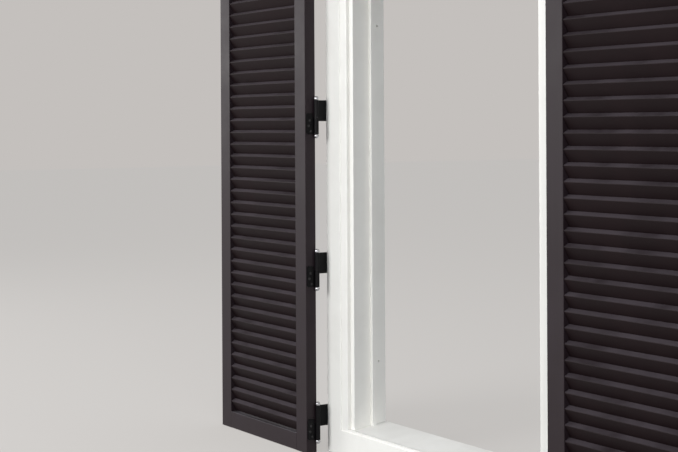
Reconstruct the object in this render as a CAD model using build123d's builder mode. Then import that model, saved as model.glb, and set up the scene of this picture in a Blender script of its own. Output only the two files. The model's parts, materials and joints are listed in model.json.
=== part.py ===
from build123d import *
import os
from math import cos, radians, sin, tan

# A pair of fixed-louvre shutters hung on the outside of a window frame, folded right back.
# X runs along the wall, Y into the wall and Z up. The face of the wall is the plane Y = 0.
# The origin is the middle of the back of the lowest casing board. Sizes are in millimetres.

# The louvre blades: flat wooden slats with their upper edge to the front
slat_count = 38
slat_width = 37.0
slat_thickness = 17.0
slat_gap = 2.0
slat_slope = 60.0
slat_edge_bevel = 1.0
slat_recess = 1.0
slat_housing = 8.0
slat_play = 0.3
slat_rail_gap = 2.0

# The stiles and rails of one shutter, and the tenons that join them
leaf_width = 532.0
stile_width = 60.0
rail_height = 52.0
edge_bevel = 1.0
tenon_length = 30.0
tenon_thickness = 12.0
tenon_shoulder = 8.0
tenon_play = 0.1

# Ball-tipped hinges
hinge_count = 4
hinge_end_margin = 90.0
knuckle_radius = 7.0
knuckle_length = 51.0
knuckle_gap = 0.3
hinge_plate = 2.5
hinge_edge_clear = 0.5
hinge_tail = 12.0
hinge_tail_clear = 2.0
hinge_corner_bevel = 4.0
shutter_plate_margin = 3.0
frame_plate_seat = 24.0
pin_radius = 3.0
pin_play = 0.05
ball_radius = 7.2
ball_sides = 12

# Boards of the window frame
casing_width = 75.0
casing_depth = 30.0
casing_edge_bevel = 1.5
leaf_casing_clear = 2.0
leaf_meeting_gap = 4.0
jamb_thickness = 51.0
jamb_depth = 111.0
jamb_proud = 15.0
outer_stop_width = 32.0
outer_stop_depth = 12.0
outer_stop_round = 4.0
parting_stop_width = 12.0
parting_stop_depth = 12.0
parting_stop_setback = 48.0
sill_nose_height = 7.0
sill_fall = 7.5
fixing_hole_radius = 2.75
fixing_hole_spacing = 1000.0
fixing_hole_setback = 72.0

# How much height and depth one sloping blade takes, and what follows for the leaf
blade_rise = slat_width * sin(radians(slat_slope)) + slat_thickness * cos(radians(slat_slope))
blade_reach = slat_width * cos(radians(slat_slope)) + slat_thickness * sin(radians(slat_slope))
slat_pitch = (slat_thickness + slat_gap) / cos(radians(slat_slope))
louvre_height = (slat_count - 1) * slat_pitch + blade_rise + 2 * slat_rail_gap
leaf_height = louvre_height + 2 * rail_height
leaf_thickness = blade_reach + 2 * slat_recess

# Axis of the hinges, and the leaf's place when it is folded back
axis_to_leaf = knuckle_radius + hinge_edge_clear
axis_x = leaf_width + leaf_meeting_gap / 2 + axis_to_leaf
axis_y = -(casing_depth + leaf_casing_clear + leaf_thickness)
leaf_mid_y = axis_y - leaf_thickness / 2
leaf_bottom = -casing_width / 2
leaf_top = leaf_bottom + leaf_height
hinge_edge_x = axis_x + axis_to_leaf
free_edge_x = hinge_edge_x + leaf_width
louvre_start_x = hinge_edge_x + stile_width
louvre_end_x = free_edge_x - stile_width
louvre_width = louvre_end_x - louvre_start_x
first_slat_z = leaf_bottom + rail_height + slat_rail_gap + blade_rise / 2
slat_heights = [first_slat_z + index * slat_pitch for index in range(slat_count)]
hinge_spacing = (leaf_height - 2 * hinge_end_margin) / (hinge_count - 1)
hinge_heights = [leaf_bottom + hinge_end_margin + index * hinge_spacing for index in range(hinge_count)]

# The window frame is as wide and as high as the closed leaves have to cover
casing_half = axis_x + axis_to_leaf - hinge_plate
inner_half = casing_half - casing_width
inner_bottom = leaf_bottom + casing_width
inner_top = leaf_top - casing_width
opening_half = inner_half - jamb_thickness
opening_top = inner_top - jamb_thickness
jamb_front = -jamb_proud
jamb_back = jamb_front + jamb_depth
stop_front = jamb_front - outer_stop_depth
parting_stop_front = parting_stop_setback - parting_stop_width / 2
parting_stop_back = parting_stop_front + parting_stop_width

os.makedirs("parts", exist_ok=True)


def save(piece, name):
    piece.part.label = name
    export_step(piece.part, f"parts/{name}.step")


# A casing board: flat, with both edges of its face eased and a mitre at both ends
def casing_board(start, inward, run, length, name):
    corner, across, along = Vector(*start), Vector(*inward), Vector(*run)
    face = -along.cross(across).Y * casing_depth
    with BuildPart() as board:
        with BuildSketch(Plane(origin=corner, x_dir=across, z_dir=along)) as section:
            with Locations((casing_width / 2, face / 2)):
                Rectangle(casing_width, casing_depth)
            chamfer(section.vertices().sort_by_distance((casing_width / 2, face))[:2], casing_edge_bevel)
        extrude(amount=length)
        split(bisect_by=Plane(origin=corner, z_dir=along - across))
        split(bisect_by=Plane(origin=corner + along * length, z_dir=-along - across))
    save(board, name)


# A plain square-edged board between two corners
def plain_board(low, high, name):
    size = Vector(*high) - Vector(*low)
    with BuildPart() as board:
        with BuildSketch(Plane.XY.offset(low[2])):
            with Locations((low[0] + size.X / 2, low[1] + size.Y / 2)):
                Rectangle(size.X, size.Y)
        extrude(amount=size.Z)
    save(board, name)


# The four mitred casing boards on the face of the wall
foot_left = (-casing_half, 0, leaf_bottom)
foot_right = (casing_half, 0, leaf_bottom)
head_left = (-casing_half, 0, leaf_top)
casing_board(foot_left, (1, 0, 0), (0, 0, 1), leaf_height, "casing_left")
casing_board(foot_right, (-1, 0, 0), (0, 0, 1), leaf_height, "casing_right")
casing_board(foot_left, (0, 0, 1), (1, 0, 0), 2 * casing_half, "casing_foot")
casing_board(head_left, (0, 0, -1), (1, 0, 0), 2 * casing_half, "casing_head")

# The sill lies between the casing boards and falls outwards. The jambs and stops stand on it.
sill_height = sill_nose_height + jamb_depth * tan(radians(sill_fall))
with BuildPart() as sill:
    with BuildSketch(Plane.YZ.offset(-inner_half)):
        Polygon(
            (stop_front, inner_bottom),
            (jamb_back, inner_bottom),
            (jamb_back, inner_bottom + sill_height),
            (jamb_front, inner_bottom + sill_nose_height),
            (stop_front, inner_bottom + sill_nose_height),
            align=None,
        )
    extrude(amount=2 * inner_half)
save(sill, "window_sill")
sill_nose_top = inner_bottom + sill_nose_height


# Where the sloping top of the sill lies at a distance into the wall
def sill_top(depth):
    return sill_nose_top + (depth - jamb_front) * tan(radians(sill_fall))


# Side jambs, each with two holes for the screws into the wall
jamb_mid_z = (inner_bottom + inner_top) / 2
fixing_heights = (jamb_mid_z - fixing_hole_spacing / 2, jamb_mid_z + fixing_hole_spacing / 2)


def side_jamb(side, name):
    with BuildPart() as jamb:
        with BuildSketch(Plane.YZ.offset(side * inner_half)):
            Polygon(
                (jamb_front, sill_top(jamb_front)),
                (jamb_back, sill_top(jamb_back)),
                (jamb_back, inner_top),
                (jamb_front, inner_top),
                align=None,
            )
            with Locations(*[(fixing_hole_setback, height) for height in fixing_heights]):
                Circle(fixing_hole_radius, mode=Mode.SUBTRACT)
        extrude(amount=-side * jamb_thickness)
    save(jamb, name)


# A strip that parts the two sash channels, its foot cut to the slope of the sill
def side_parting_stop(side, name):
    with BuildPart() as stop:
        with BuildSketch(Plane.YZ.offset(side * opening_half)):
            Polygon(
                (parting_stop_front, sill_top(parting_stop_front)),
                (parting_stop_back, sill_top(parting_stop_back)),
                (parting_stop_back, opening_top),
                (parting_stop_front, opening_top),
                align=None,
            )
        extrude(amount=-side * parting_stop_depth)
    save(stop, name)


# An outer stop beside the casing, its inner corner rounded, mitred where it meets the next one
def outer_stop(start, inward, run, length, mitred_start, name):
    corner, across, along = Vector(*start), Vector(*inward), Vector(*run)
    depth = -along.cross(across).Y * outer_stop_depth
    with BuildPart() as stop:
        with BuildSketch(Plane(origin=corner, x_dir=across, z_dir=along)) as section:
            with Locations((outer_stop_width / 2, depth / 2)):
                Rectangle(outer_stop_width, outer_stop_depth)
            fillet(section.vertices().sort_by_distance((outer_stop_width, depth))[0], outer_stop_round)
        extrude(amount=length)
        if mitred_start:
            split(bisect_by=Plane(origin=corner, z_dir=along - across))
        split(bisect_by=Plane(origin=corner + along * length, z_dir=-along - across))
    save(stop, name)


stop_foot_left = (-inner_half, jamb_front, sill_nose_top)
stop_foot_right = (inner_half, jamb_front, sill_nose_top)
stop_head_left = (-inner_half, jamb_front, inner_top)
stop_height = inner_top - sill_nose_top
outer_stop(stop_foot_left, (1, 0, 0), (0, 0, 1), stop_height, False, "outer_stop_left")
outer_stop(stop_foot_right, (-1, 0, 0), (0, 0, 1), stop_height, False, "outer_stop_right")
outer_stop(stop_head_left, (0, 0, -1), (1, 0, 0), 2 * inner_half, True, "outer_stop_head")

for side, word in ((-1, "left"), (1, "right")):
    side_jamb(side, f"jamb_{word}")
    side_parting_stop(side, f"parting_stop_{word}")

plain_board(
    (-opening_half, jamb_front, opening_top),
    (opening_half, jamb_back, inner_top),
    "jamb_head",
)
plain_board(
    (-opening_half + parting_stop_depth, parting_stop_front, opening_top - parting_stop_depth),
    (opening_half - parting_stop_depth, parting_stop_back, opening_top),
    "parting_stop_head",
)


# The mortises for the rails, and the middle heights of the two rails
tenon_height = rail_height - 2 * tenon_shoulder
rail_heights = [leaf_bottom + rail_height / 2, leaf_top - rail_height / 2]
blade_places = [Location((leaf_mid_y, height, 0), (0, 0, -slat_slope)) for height in slat_heights]


# A stile with a blind housing for each blade and a mortise for each rail in its inner edge
def stile(side, outer, inner, name):
    inward = side * (1 if inner > outer else -1)
    with BuildPart() as post:
        with BuildSketch(Plane.XY.offset(leaf_bottom)) as section:
            with Locations((side * (outer + inner) / 2, leaf_mid_y)):
                Rectangle(abs(inner - outer), leaf_thickness)
            chamfer(section.vertices(), edge_bevel)
        extrude(amount=leaf_height)
        with BuildSketch(Plane.YZ.offset(side * inner)):
            with Locations(*blade_places):
                Rectangle(slat_width + 2 * slat_play, slat_thickness + 2 * slat_play)
        extrude(amount=-inward * (slat_housing + slat_play), mode=Mode.SUBTRACT)
        with BuildSketch(Plane.YZ.offset(side * inner)):
            with Locations(*[(leaf_mid_y, height) for height in rail_heights]):
                Rectangle(tenon_thickness + 2 * tenon_play, tenon_height + 2 * tenon_play)
        extrude(amount=-inward * (tenon_length + tenon_play), mode=Mode.SUBTRACT)
    save(post, name)


def rail(side, middle, name):
    with BuildPart() as bar:
        with BuildSketch(Plane.YZ.offset(side * louvre_start_x)) as section:
            with Locations((leaf_mid_y, middle)):
                Rectangle(leaf_thickness, rail_height)
            chamfer(section.vertices(), edge_bevel)
        extrude(amount=side * louvre_width)
        with BuildSketch(Plane.YZ.offset(side * (louvre_start_x - tenon_length))):
            with Locations((leaf_mid_y, middle)):
                Rectangle(tenon_thickness, tenon_height)
        extrude(amount=side * (louvre_width + 2 * tenon_length))
    save(bar, name)


# All the blades of one leaf, each with its two upper edges eased
def slats(side, name):
    with BuildSketch() as section:
        blade = Rectangle(slat_width, slat_thickness)
        chamfer(blade.vertices().group_by(Axis.X)[0], slat_edge_bevel)
    with BuildPart() as blades:
        with BuildSketch(Plane.YZ.offset(side * (louvre_start_x - slat_housing))):
            with Locations(*blade_places):
                add(section.sketch)
        extrude(amount=side * (louvre_width + 2 * slat_housing))
    save(blades, name)


# One half of every hinge of a leaf: a knuckle, and a plate that lies in one plane with the
# other half's plate when the leaf is folded back. The plate's tail passes the other knuckle.
def hinge_halves(side, reach, turn, name):
    tail_start = knuckle_radius + hinge_tail_clear
    seam = knuckle_gap / 2
    upward = 1 if turn == 0 else -1
    with BuildSketch() as outline:
        plate = Polygon(
            (0, seam),
            (tail_start, seam),
            (tail_start, -hinge_tail),
            (reach, -hinge_tail),
            (reach, knuckle_length),
            (0, knuckle_length),
            align=None,
        )
        chamfer(plate.vertices().group_by(Axis.X)[-1], hinge_corner_bevel)
    with BuildPart() as halves:
        with BuildSketch(Plane.YZ.offset(side * hinge_edge_x)):
            with Locations(*[Location((axis_y, height, 0), (0, 0, turn)) for height in hinge_heights]):
                add(outline.sketch)
        extrude(amount=-side * hinge_plate)
        for height in hinge_heights:
            with BuildSketch(Plane.XY.offset(height + upward * seam)):
                with Locations((side * axis_x, axis_y)):
                    Circle(knuckle_radius)
            extrude(amount=upward * (knuckle_length - seam))
        with BuildSketch(Plane.XY.offset(leaf_bottom)):
            with Locations((side * axis_x, axis_y)):
                Circle(pin_radius + pin_play)
        extrude(amount=leaf_height, mode=Mode.SUBTRACT)
    save(halves, name)


# Straight pins. Each reaches from the upper ball to the lower one, just below the knuckles.
pin_bottom = -knuckle_length - knuckle_gap


def hinge_pins(side, name):
    with BuildPart() as pins:
        for height in hinge_heights:
            with BuildSketch(Plane.XY.offset(height + pin_bottom)):
                with Locations((side * axis_x, axis_y)):
                    Circle(pin_radius)
            extrude(amount=knuckle_length - pin_bottom)
    save(pins, name)


# Balls on both ends of every pin, cut off flat where they meet it. The lower ball carries
# the leaf. They are turned with few flats, because there are so many of them.
def ball_tips(side, name):
    ball_flat = ball_radius * sin(radians(45))
    with BuildPart() as ball:
        for latitude in (-45, -15, 15, 45):
            with BuildSketch(Plane.XY.offset(ball_radius * sin(radians(latitude)))):
                RegularPolygon(ball_radius * cos(radians(latitude)), ball_sides)
        loft(ruled=True)
    with BuildPart() as tips:
        for height in hinge_heights:
            upper = height + knuckle_length + ball_flat
            lower = height + pin_bottom - ball_flat
            with Locations((side * axis_x, axis_y, upper), (side * axis_x, axis_y, lower)):
                add(ball.part)
    save(tips, name)


frame_plate_reach = -casing_depth + frame_plate_seat - axis_y
shutter_plate_reach = leaf_thickness - shutter_plate_margin
for side, word in ((-1, "left"), (1, "right")):
    stile(side, hinge_edge_x, louvre_start_x, f"{word}_hinge_stile")
    stile(side, free_edge_x, louvre_end_x, f"{word}_meeting_stile")
    rail(side, rail_heights[0], f"{word}_bottom_rail")
    rail(side, rail_heights[1], f"{word}_top_rail")
    slats(side, f"{word}_slats")
    hinge_halves(side, frame_plate_reach, 0, f"{word}_hinge_frame_halves")
    hinge_halves(side, shutter_plate_reach, 180, f"{word}_hinge_shutter_halves")
    hinge_pins(side, f"{word}_hinge_pins")
    ball_tips(side, f"{word}_hinge_ball_tips")
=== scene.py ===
import json
from math import cos, pi, radians, sin

import bmesh
import bpy
from mathutils import Matrix, Vector


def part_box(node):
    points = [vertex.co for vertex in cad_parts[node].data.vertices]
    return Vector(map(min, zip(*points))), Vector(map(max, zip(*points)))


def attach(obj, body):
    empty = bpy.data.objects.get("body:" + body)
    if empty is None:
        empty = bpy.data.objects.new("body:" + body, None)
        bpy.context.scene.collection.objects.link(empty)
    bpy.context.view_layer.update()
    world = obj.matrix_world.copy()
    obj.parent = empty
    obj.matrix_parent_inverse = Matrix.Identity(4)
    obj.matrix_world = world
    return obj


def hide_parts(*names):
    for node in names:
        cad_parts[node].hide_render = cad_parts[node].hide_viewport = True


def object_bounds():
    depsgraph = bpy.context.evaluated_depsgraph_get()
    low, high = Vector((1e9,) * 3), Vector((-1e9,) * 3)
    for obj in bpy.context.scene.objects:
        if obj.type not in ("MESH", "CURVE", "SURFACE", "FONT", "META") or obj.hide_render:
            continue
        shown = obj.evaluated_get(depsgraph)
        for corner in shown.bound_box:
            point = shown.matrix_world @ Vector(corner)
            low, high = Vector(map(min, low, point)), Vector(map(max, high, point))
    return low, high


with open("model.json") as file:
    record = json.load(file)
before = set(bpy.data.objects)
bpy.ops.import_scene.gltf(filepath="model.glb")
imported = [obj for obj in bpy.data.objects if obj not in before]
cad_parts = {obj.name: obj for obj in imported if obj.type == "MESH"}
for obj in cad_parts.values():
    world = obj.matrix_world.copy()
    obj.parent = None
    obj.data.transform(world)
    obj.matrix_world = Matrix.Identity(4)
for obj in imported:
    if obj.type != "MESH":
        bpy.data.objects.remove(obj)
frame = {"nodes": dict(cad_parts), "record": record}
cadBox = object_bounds()
nodes = frame["nodes"]
joints = {joint["name"]: joint for joint in frame["record"]["behaviour"]["joints"]}
sides = {"left": -1, "right": 1}  # with the sign of x on each
mm = 0.001
print("frame loaded:", len(nodes), "nodes")


# Materials

# From the sRGB values of a colour picker to the linear ones of a shader
def toLinear(hexColour):
    values = [int(hexColour[i:i + 2], 16) / 255 for i in (1, 3, 5)]
    return tuple(v / 12.92 if v <= 0.04045 else ((v + 0.055) / 1.055) ** 2.4 for v in values) + (1.0,)


# Adds a node. An input is either a value or the socket that it is linked to.
def addNode(tree, kind, settings=None, inputs=None):
    node = tree.nodes.new(kind)
    for name, value in (settings or {}).items():
        setattr(node, name, value)
    for name, value in (inputs or {}).items():
        if isinstance(value, bpy.types.NodeSocket):
            tree.links.new(value, node.inputs[name])
        else:
            node.inputs[name].default_value = value
    return node


def newMaterial(name):
    material = bpy.data.materials.new(name)
    material.use_nodes = True
    material.node_tree.nodes.clear()
    return material, material.node_tree


# How the exterior paints are laid on. Lengths are in millimetres.
paintLook = {
    "brushMarkWidth": 2.2,
    "brushMarkLength": 90.0,
    "grainWidth": 5.0,
    "grainLength": 160.0,
    "cloudSize": 140.0,  # patches of wear, of dust and painted highlight, and duller gloss
    "wornShare": 0.45,
    "ior": 1.48,
}


# Acrylic paint over timber, laid off with a brush along the board. The grain shows through a
# little as fine lines, and what faces the sky takes the dust colour: on the white trim this is
# dust, and on the dark shutters it is dust and also a painted highlight on the tops.
def brushedTimberPaint(name, alongAxis, colour, worn, dustAndTopLight, dustAndTopLightAmount, roughness, sheen,
                       brushDepth, grainDepth):
    material, tree = newMaterial(name)
    place = addNode(tree, "ShaderNodeTexCoord").outputs["Object"]

    def stretched(width, length):
        scale = [1 / (width * mm)] * 3
        scale[alongAxis] = 1 / (length * mm)
        return addNode(tree, "ShaderNodeMapping", {}, {"Vector": place, "Scale": scale}).outputs[0]

    brush = addNode(tree, "ShaderNodeTexNoise", {}, {
        "Vector": stretched(paintLook["brushMarkWidth"], paintLook["brushMarkLength"]),
        "Scale": 1.0, "Detail": 3.0, "Roughness": 0.55}).outputs[0]
    grain = addNode(tree, "ShaderNodeTexNoise", {}, {
        "Vector": stretched(paintLook["grainWidth"], paintLook["grainLength"]),
        "Scale": 1.0, "Detail": 5.0, "Roughness": 0.6, "Distortion": 0.4}).outputs[0]
    cloud = addNode(tree, "ShaderNodeTexNoise", {}, {
        "Vector": place, "Scale": 1 / (paintLook["cloudSize"] * mm),
        "Detail": 4.0, "Roughness": 0.6}).outputs[0]

    normal = addNode(tree, "ShaderNodeNewGeometry").outputs["Normal"]
    upward = addNode(tree, "ShaderNodeSeparateXYZ", {}, {"Vector": normal}).outputs[2]
    # Upward faces take the dust colour: dust, and where it is lighter than the paint, also a painted
    # highlight on the tops
    skyward = addNode(tree, "ShaderNodeMapRange", {"interpolation_type": "SMOOTHSTEP"}, {
        "Value": upward, "From Min": 0.1, "From Max": 0.9, "To Max": dustAndTopLightAmount}).outputs[0]
    dustAndLightPatches = addNode(tree, "ShaderNodeMapRange", {"interpolation_type": "SMOOTHSTEP"}, {
        "Value": cloud, "From Min": 0.05, "From Max": 0.7}).outputs[0]
    dustAndTopLightMask = addNode(tree, "ShaderNodeMath", {"operation": "MULTIPLY"}, {
        0: skyward, 1: dustAndLightPatches}).outputs[0]
    wornMask = addNode(tree, "ShaderNodeMapRange", {"interpolation_type": "SMOOTHSTEP"}, {
        "Value": cloud, "From Min": 0.42, "From Max": 0.72, "To Max": paintLook["wornShare"]}).outputs[0]
    painted = addNode(tree, "ShaderNodeMix", {"data_type": "RGBA"}, {
        0: wornMask, 6: toLinear(colour), 7: toLinear(worn)}).outputs[2]
    dustedAndTopLit = addNode(tree, "ShaderNodeMix", {"data_type": "RGBA"}, {
        0: dustAndTopLightMask, 6: painted, 7: toLinear(dustAndTopLight)}).outputs[2]
    unevenGloss = addNode(tree, "ShaderNodeMapRange", {}, {
        "Value": cloud, "From Min": 0.3, "From Max": 0.7,
        "To Min": roughness - 0.06, "To Max": roughness + 0.08}).outputs[0]

    grainBump = addNode(tree, "ShaderNodeBump", {}, {"Height": grain, "Distance": grainDepth * mm})
    brushBump = addNode(tree, "ShaderNodeBump", {}, {
        "Height": brush, "Distance": brushDepth * mm, "Normal": grainBump.outputs[0]})
    shader = addNode(tree, "ShaderNodeBsdfPrincipled", {}, {
        "Base Color": dustedAndTopLit, "Roughness": unevenGloss, "IOR": paintLook["ior"],
        "Specular IOR Level": sheen, "Normal": brushBump.outputs[0]})
    addNode(tree, "ShaderNodeOutputMaterial", {}, {"Surface": shader.outputs[0]})
    return material


# Steel with a black stoved finish: nearly black, with the slight orange peel of sprayed
# paint, which breaks up its highlights.
def blackStovedSteel(name, colour, scuffed, patchSize, peelSize, peelDepth, roughness, sheen):
    material, tree = newMaterial(name)
    place = addNode(tree, "ShaderNodeTexCoord").outputs["Object"]
    peel = addNode(tree, "ShaderNodeTexNoise", {}, {
        "Vector": place, "Scale": 1 / (peelSize * mm), "Detail": 2.0}).outputs[0]
    patches = addNode(tree, "ShaderNodeTexNoise", {}, {
        "Vector": place, "Scale": 1 / (patchSize * mm), "Detail": 4.0, "Roughness": 0.65}).outputs[0]
    scuffMask = addNode(tree, "ShaderNodeMapRange", {"interpolation_type": "SMOOTHSTEP"}, {
        "Value": patches, "From Min": 0.5, "From Max": 0.75, "To Max": 0.6}).outputs[0]
    coat = addNode(tree, "ShaderNodeMix", {"data_type": "RGBA"}, {
        0: scuffMask, 6: toLinear(colour), 7: toLinear(scuffed)}).outputs[2]
    unevenGloss = addNode(tree, "ShaderNodeMapRange", {}, {
        "Value": patches, "From Min": 0.3, "From Max": 0.7,
        "To Min": roughness - 0.05, "To Max": roughness + 0.1}).outputs[0]
    bump = addNode(tree, "ShaderNodeBump", {}, {
        "Height": peel, "Distance": peelDepth * mm, "Strength": 0.6})
    shader = addNode(tree, "ShaderNodeBsdfPrincipled", {}, {
        "Base Color": coat, "Roughness": unevenGloss, "IOR": 1.5, "Specular IOR Level": sheen,
        "Normal": bump.outputs[0]})
    addNode(tree, "ShaderNodeOutputMaterial", {}, {"Surface": shader.outputs[0]})
    return material


# Stainless steel turned and buffed: bright, with faint rings from the lathe round its axis
# and a little haze from the weather.
def turnedStainlessSteel(name, colour, hazed, hazeSize, ringSpacing, ringDepth, roughness):
    material, tree = newMaterial(name)
    place = addNode(tree, "ShaderNodeTexCoord").outputs["Object"]
    height = addNode(tree, "ShaderNodeSeparateXYZ", {}, {"Vector": place}).outputs[2]
    turns = addNode(tree, "ShaderNodeMath", {"operation": "MULTIPLY"}, {
        0: height, 1: 2 * pi / (ringSpacing * mm)}).outputs[0]
    rings = addNode(tree, "ShaderNodeMath", {"operation": "SINE"}, {0: turns}).outputs[0]
    haze = addNode(tree, "ShaderNodeTexNoise", {}, {
        "Vector": place, "Scale": 1 / (hazeSize * mm), "Detail": 3.0}).outputs[0]
    hazeMask = addNode(tree, "ShaderNodeMapRange", {"interpolation_type": "SMOOTHSTEP"}, {
        "Value": haze, "From Min": 0.4, "From Max": 0.7, "To Max": 0.8}).outputs[0]
    metal = addNode(tree, "ShaderNodeMix", {"data_type": "RGBA"}, {
        0: hazeMask, 6: toLinear(colour), 7: toLinear(hazed)}).outputs[2]
    unevenGloss = addNode(tree, "ShaderNodeMapRange", {}, {
        "Value": haze, "From Min": 0.3, "From Max": 0.7,
        "To Min": roughness - 0.05, "To Max": roughness + 0.12}).outputs[0]
    bump = addNode(tree, "ShaderNodeBump", {}, {
        "Height": rings, "Distance": ringDepth * mm, "Strength": 0.4})
    shader = addNode(tree, "ShaderNodeBsdfPrincipled", {}, {
        "Base Color": metal, "Metallic": 1.0, "Roughness": unevenGloss, "Normal": bump.outputs[0]})
    addNode(tree, "ShaderNodeOutputMaterial", {}, {"Surface": shader.outputs[0]})
    return material


# Looks of the paints and metals. Depths, sizes and spacings are in millimetres.
shutterPaint = {
    "colour": "#20161B",
    "worn": "#2A2127",
    "dustAndTopLight": "#7A787D",
    "dustAndTopLightAmount": 0.3,
    "roughness": 0.5,
    "sheen": 0.28,
    "brushDepth": 0.10,
    "grainDepth": 0.16,
}
# The blades take the stiles' paint made darker, a painted shade for the deep gaps between the blades and
# their down-facing faces. Their lighter dust colour on the tops is dust and also a painted highlight.
bladePaintWithPaintedShade = {
    "colour": "#1A1113",
    "worn": "#23181A",
    "dustAndTopLight": "#787179",
    "dustAndTopLightAmount": 0.23,
    "roughness": 0.54,
    "sheen": 0.12,
    "brushDepth": 0.10,
    "grainDepth": 0.16,
}
trimPaint = {
    "colour": "#F0EFEA",
    "worn": "#E6E4DF",
    "dustAndTopLight": "#C6C3BD",
    "dustAndTopLightAmount": 0.26,
    "roughness": 0.34,
    "sheen": 0.5,
    "brushDepth": 0.06,
    "grainDepth": 0.05,
}
hingeCoat = {
    "colour": "#0B0A0C",
    "scuffed": "#161517",
    "patchSize": 14.0,
    "peelSize": 1.2,
    "peelDepth": 0.05,
    "roughness": 0.4,
    "sheen": 0.12,
}
screwCoat = {
    "colour": "#161517",
    "scuffed": "#29272A",
    "patchSize": 14.0,
    "peelSize": 0.8,
    "peelDepth": 0.05,
    "roughness": 0.32,
    "sheen": 0.4,
}
ballMetal = {
    "colour": "#BDBDC0",
    "hazed": "#8F8F93",
    "hazeSize": 5.0,
    "ringSpacing": 0.8,
    "ringDepth": 0.01,
    "roughness": 0.26,
}
boardAxis = {"across": 0, "up": 2}  # the way that the grain runs
shutterUpright = brushedTimberPaint("satinPaintOnStiles", boardAxis["up"], **shutterPaint)
shutterAcross = brushedTimberPaint("satinPaintOnRails", boardAxis["across"], **shutterPaint)
# Darker than the stiles' paint: painted shade on the blades
bladesAcross = brushedTimberPaint("mattPaintOnBladesWithPaintedShade", boardAxis["across"], **bladePaintWithPaintedShade)
trimUpright = brushedTimberPaint("glossPaintUpright", boardAxis["up"], **trimPaint)
trimAcross = brushedTimberPaint("glossPaintAcross", boardAxis["across"], **trimPaint)
hingeSteel = blackStovedSteel("blackStovedSteel", **hingeCoat)
ballSteel = turnedStainlessSteel("turnedStainlessSteel", **ballMetal)
screwSteel = blackStovedSteel("blackenedScrews", **screwCoat)
print("materials made:", len(bpy.data.materials))

# The material of each board and hinge part, by the end of its name
nodeMaterials = {
    "_pins": ballSteel,
    "_ball_tips": ballSteel,
    "_halves": hingeSteel,
    "_slats": bladesAcross,
    "_rail": shutterAcross,
    "_stile": shutterUpright,
    "_head": trimAcross,
    "_foot": trimAcross,
    "_sill": trimAcross,
    "_left": trimUpright,
    "_right": trimUpright,
}
# Sanded edges: the arris that a painter leaves on every board, so that it catches the light.
# The rails have none, so that their shoulders stay tight against the stiles. Widths are in
# millimetres.
sandedEdge = {
    "timber": 0.5,
    "steel": 0.35,
    "segments": 2,
    "leastAngle": 30.0,  # degrees
    "unsanded": ("_pins", "_ball_tips", "_rail"),
}
for name, node in nodes.items():
    material = next(kind for ending, kind in nodeMaterials.items() if name.endswith(ending))
    node.data.materials.clear()
    node.data.materials.append(material)
    if name.endswith(sandedEdge["unsanded"]):
        continue
    bevel = node.modifiers.new("sandedEdge", "BEVEL")
    bevel.width = sandedEdge["steel" if material is hingeSteel else "timber"] * mm
    bevel.segments = sandedEdge["segments"]
    bevel.limit_method = "ANGLE"
    bevel.angle_limit = radians(sandedEdge["leastAngle"])
    bevel.use_clamp_overlap = True
    bevel.harden_normals = False
print("boards and hinges painted")


# Hinges

# Sizes of the hinges in millimetres, the same as in the solids
hingeSize = {
    "count": 4,
    "tail": 12.0,
    "knuckle": 51.0,
    "gap": 0.3,
    "ball": 7.2,  # radius
    "ballCut": 45,  # degrees below the middle of the ball, where it is flat on the pin
    "ballRings": 15,  # steps and sides of the turned mesh
    "ballSides": 32,
}
creaseAngle = 40  # edges sharper than this, in degrees, aren't smoothed


# Heights at which the two knuckles of each hinge meet
def hingeSeams(side):
    low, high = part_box(f"{side}_hinge_frame_halves")
    first = low[2] + hingeSize["tail"] * mm
    last = high[2] - hingeSize["knuckle"] * mm
    step = (last - first) / (hingeSize["count"] - 1)
    return [first + index * step for index in range(hingeSize["count"])]


# Makes a turned shape into a piece that moves with its body
def meshPiece(name, shape, material, body):
    mesh = bpy.data.meshes.new(name)
    bmesh.ops.recalc_face_normals(shape, faces=shape.faces)
    shape.to_mesh(mesh)
    shape.free()
    mesh.shade_smooth()
    mesh.set_sharp_from_angle(angle=radians(creaseAngle))
    mesh.materials.append(material)
    piece = bpy.data.objects.new(name, mesh)
    bpy.context.scene.collection.objects.link(piece)
    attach(piece, body)
    return piece


# Turns a profile of (radius, height) points about the direction it is given. A point of no
# radius closes the shape.
def turn(shape, profile, place, direction, steps):
    tilt = Vector((0, 0, 1)).rotation_difference(direction).to_matrix()
    angles = [2 * pi * k / steps for k in range(steps)]
    rings = []
    for radius, height in profile:
        points = [(radius * cos(angle), radius * sin(angle), height) for angle in angles]
        if radius == 0:
            points = [(0, 0, height)]
        rings.append([shape.verts.new(place + tilt @ Vector(point)) for point in points])
    for low, high in zip(rings, rings[1:]):
        for k in range(steps):
            after = (k + 1) % steps
            corners = [low[k % len(low)], low[after % len(low)],
                       high[after % len(high)], high[k % len(high)]]
            shape.faces.new(list(dict.fromkeys(corners)))  # three corners at a closed end


# The upper ball of a hinge, turned from bar and cut off flat where it meets the pin
def ballProfile():
    radius = hingeSize["ball"] * mm
    cut = hingeSize["ballCut"]
    points = [(0, -radius * sin(radians(cut)))]
    for step in range(hingeSize["ballRings"]):
        latitude = radians(-cut + step * (90 + cut) / hingeSize["ballRings"])
        points.append((radius * cos(latitude), radius * sin(latitude)))
    points.append((0, radius))
    return points


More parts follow.
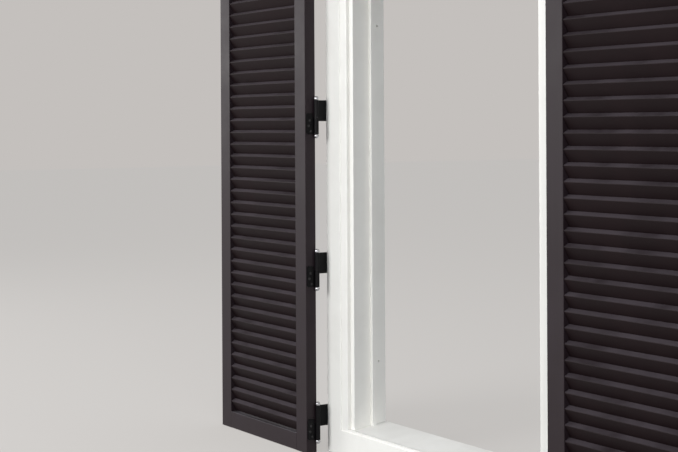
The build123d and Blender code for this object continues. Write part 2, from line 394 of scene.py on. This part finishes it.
def ballTips(side):
    axis = Vector(joints[f"{side}_shutter_hinge"]["pos_m"])
    upperBall = ballProfile()
    lowerBall = [(radius, -height) for radius, height in upperBall]
    flat = hingeSize["ball"] * sin(radians(hingeSize["ballCut"])) * mm
    shape = bmesh.new()
    for seam in hingeSeams(side):
        above = seam + hingeSize["knuckle"] * mm + flat
        below = seam - (hingeSize["knuckle"] + hingeSize["gap"]) * mm - flat
        for profile, height in ((upperBall, above), (lowerBall, below)):
            turn(shape, profile, Vector((axis.x, axis.y, height)), Vector((0, 0, 1)),
                 hingeSize["ballSides"])
    return shape


for side in sides:
    piece = meshPiece(f"{side}BallTips", ballTips(side), ballSteel, "window_frame")
    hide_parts(f"{side}_hinge_ball_tips")
print("ball tips turned")

# Raised countersunk screws that hold the hinge plates, two in the casing and three in the
# stile. Lengths are in millimetres. Each place is a distance into the wall and a height above
# the seam: in the casing from the inner end of the plate, in the stile from the hinge's axis.
screw = {
    "headRadius": 4.2,
    "rise": 0.9,
    "seat": 0.1,  # how far the head is sunk in the plate
    "dome": [(0.7, 0.72), (0.93, 0.3)],  # shares of the radius and of the rise
    "recessRadius": 1.4,
    "recessDepth": 0.6,
    "recessFloor": 0.6,  # share of the recess's radius
    "recessLip": 0.97,  # share of the rise
    "sides": 20,
    "casingPlaces": [(-14.0, 34.0), (-14.0, 4.0)],
    "stilePlaces": [(-20.0, -10.0), (-24.0, -26.0), (-16.0, -42.0)],
}


# The head, from the middle of its recess over the dome to the middle of its seat
def screwProfile():
    floorHeight = screw["rise"] - screw["recessDepth"]
    points = [(0.0, floorHeight), (screw["recessRadius"] * screw["recessFloor"], floorHeight),
              (screw["recessRadius"], screw["rise"] * screw["recessLip"])]
    for out, up in screw["dome"]:
        points.append((screw["headRadius"] * out, screw["rise"] * up))
    points += [(screw["headRadius"], -screw["seat"]), (0.0, -screw["seat"])]
    return [(radius * mm, height * mm) for radius, height in points]


# The plates fill the gap between the casing's side and the stile's edge, so the screws of
# each plate have their heads in the plane of the board that it doesn't lie on.
def hingeScrews(side, sign):
    axis = Vector(joints[f"{side}_shutter_hinge"]["pos_m"])
    plateLow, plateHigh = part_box(f"{side}_hinge_frame_halves")
    casingLow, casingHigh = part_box(f"casing_{side}")
    stilePlane = max(abs(plateLow[0]), abs(plateHigh[0]))
    casingPlane = max(abs(casingLow[0]), abs(casingHigh[0]))
    for group, body, plane, facing, start, places in (
            ("CasingScrews", "window_frame", stilePlane, sign, plateHigh[1], screw["casingPlaces"]),
            ("StileScrews", f"{side}_shutter", casingPlane, -sign, axis.y, screw["stilePlaces"])):
        heads = bmesh.new()
        for seam in hingeSeams(side):
            for inward, up in places:
                place = Vector((sign * plane, start + inward * mm, seam + up * mm))
                turn(heads, screwProfile(), place, Vector((facing, 0, 0)), screw["sides"])
        piece = meshPiece(f"{side}{group}", heads, screwSteel, body)


for side, sign in sides.items():
    hingeScrews(side, sign)
print("hinge screws driven")


# Floor, light and camera

# Places and sizes are in metres, and the strengths of the lamps in watts.
studio = {
    "floor": "#C4C1BE",
    "floorInShade": "#2E2B29",
    "floorGlow": "#DCD8D4",
    "floorGlowShare": 0.62,
    "floorSize": 60.0,
    "floorGap": 0.002,
    "backdrop": "#C4C0BD",
    "sky": "#F3F8FF",
    "skyStrength": 0.5,
    "lampAim": (0, 0, 0.7),
    "lamps": {
        "keyLamp": {"place": (-0.8, -5.9, 2.6), "size": 3.6, "strength": 292.0},
        "sideLamp": {"place": (-5.5, -3.2, 2.3), "size": 3.0, "strength": 110.0},
        "fillLamp": {"place": (5.6, -2.6, 1.6), "size": 2.6, "strength": 125.0},
    },
}


# One for rays from the camera and for what metal and glass mirror, zero for all other rays
def seenRays(tree):
    rays = addNode(tree, "ShaderNodeLightPath").outputs
    mirrored = addNode(tree, "ShaderNodeMath", {"operation": "MAXIMUM"}, {
        0: rays["Is Glossy Ray"], 1: rays["Is Transmission Ray"]}).outputs[0]
    return addNode(tree, "ShaderNodeMath", {"operation": "MAXIMUM"}, {
        0: rays["Is Camera Ray"], 1: mirrored}).outputs[0]


# Seen rays meet a floor that runs into the pale backdrop, with the shutters' shadow on it.
# Every other ray meets a darker floor, so that the undersides of the blades stay deep.
def paleFloor():
    material, tree = newMaterial("paleFloor")
    seen = seenRays(tree)
    colour = addNode(tree, "ShaderNodeMix", {"data_type": "RGBA"}, {
        0: seen, 6: toLinear(studio["floorInShade"]), 7: toLinear(studio["floor"])}).outputs[2]
    paint = addNode(tree, "ShaderNodeBsdfDiffuse", {}, {"Color": colour})
    glow = addNode(tree, "ShaderNodeEmission", {}, {
        "Color": toLinear(studio["floorGlow"]), "Strength": 1.0})
    glowShare = addNode(tree, "ShaderNodeMath", {"operation": "MULTIPLY"}, {
        0: seen, 1: studio["floorGlowShare"]}).outputs[0]
    blend = addNode(tree, "ShaderNodeMixShader", {}, {
        0: glowShare, 1: paint.outputs[0], 2: glow.outputs[0]})
    addNode(tree, "ShaderNodeOutputMaterial", {}, {"Surface": blend.outputs[0]})
    return material


floorShape = bmesh.new()
bmesh.ops.create_grid(floorShape, x_segments=1, y_segments=1, size=studio["floorSize"] / 2)
floorMesh = bpy.data.meshes.new("floor")
floorShape.to_mesh(floorMesh)
floorShape.free()
floorMesh.materials.append(paleFloor())
floor = bpy.data.objects.new("floor", floorMesh)
floor.location = (0, 0, cadBox[0][2] - studio["floorGap"])
bpy.context.scene.collection.objects.link(floor)

# The sky lights the shutters softly, and seen rays meet the plain pale backdrop in its place
world = bpy.data.worlds.new("studioWorld")
world.use_nodes = True
tree = world.node_tree
tree.nodes.clear()
seen = seenRays(tree)
skyGlow = addNode(tree, "ShaderNodeBackground", {}, {
    "Color": toLinear(studio["sky"]), "Strength": studio["skyStrength"]})
backdropGlow = addNode(tree, "ShaderNodeBackground", {}, {
    "Color": toLinear(studio["backdrop"]), "Strength": 1.0})
either = addNode(tree, "ShaderNodeMixShader", {}, {
    0: seen, 1: skyGlow.outputs[0], 2: backdropGlow.outputs[0]})
addNode(tree, "ShaderNodeOutputWorld", {}, {"Surface": either.outputs[0]})
bpy.context.scene.world = world

for name, values in studio["lamps"].items():
    lamp = bpy.data.lights.new(name, "AREA")
    lamp.shape = "DISK"
    lamp.size = values["size"]
    lamp.energy = values["strength"]
    holder = bpy.data.objects.new(name, lamp)
    holder.location = values["place"]
    aim = Vector(studio["lampAim"]) - Vector(values["place"])
    holder.rotation_euler = aim.to_track_quat("-Z", "Y").to_euler()
    bpy.context.scene.collection.objects.link(holder)

# The photograph's camera: level, looking along the wall, with the horizon high in the
# picture, so the picture is the lower part of what the lens sees. Angles are in degrees, the
# sensor in millimetres and the rest of the lens in pixels of the photograph.
photoCamera = {
    "place": (3.284, -2.439, 0.942),
    "azimuth": 57.34,
    "pitch": 0.0,
    "roll": -0.3,
    "sensor": 36.0,
    "focalPixels": 1500.0,
    "horizon": 126.0,
    "width": 678.0,
    "height": 452.0,
}
lens = bpy.data.cameras.new("photoCamera")
lens.sensor_fit = "HORIZONTAL"
lens.sensor_width = photoCamera["sensor"]
lens.lens = photoCamera["focalPixels"] / photoCamera["width"] * photoCamera["sensor"]
lens.shift_y = (photoCamera["horizon"] - photoCamera["height"] / 2) / photoCamera["width"]
camera = bpy.data.objects.new("photoCamera", lens)
camera.matrix_world = (
    Matrix.Translation(photoCamera["place"])
    @ Matrix.Rotation(radians(photoCamera["azimuth"]), 4, "Z")
    @ Matrix.Rotation(radians(90 + photoCamera["pitch"]), 4, "X")
    @ Matrix.Rotation(radians(photoCamera["roll"]), 4, "Z"))
bpy.context.scene.collection.objects.link(camera)
bpy.context.scene.camera = camera
bpy.context.scene.view_settings.view_transform = "Standard"
print("studio set")
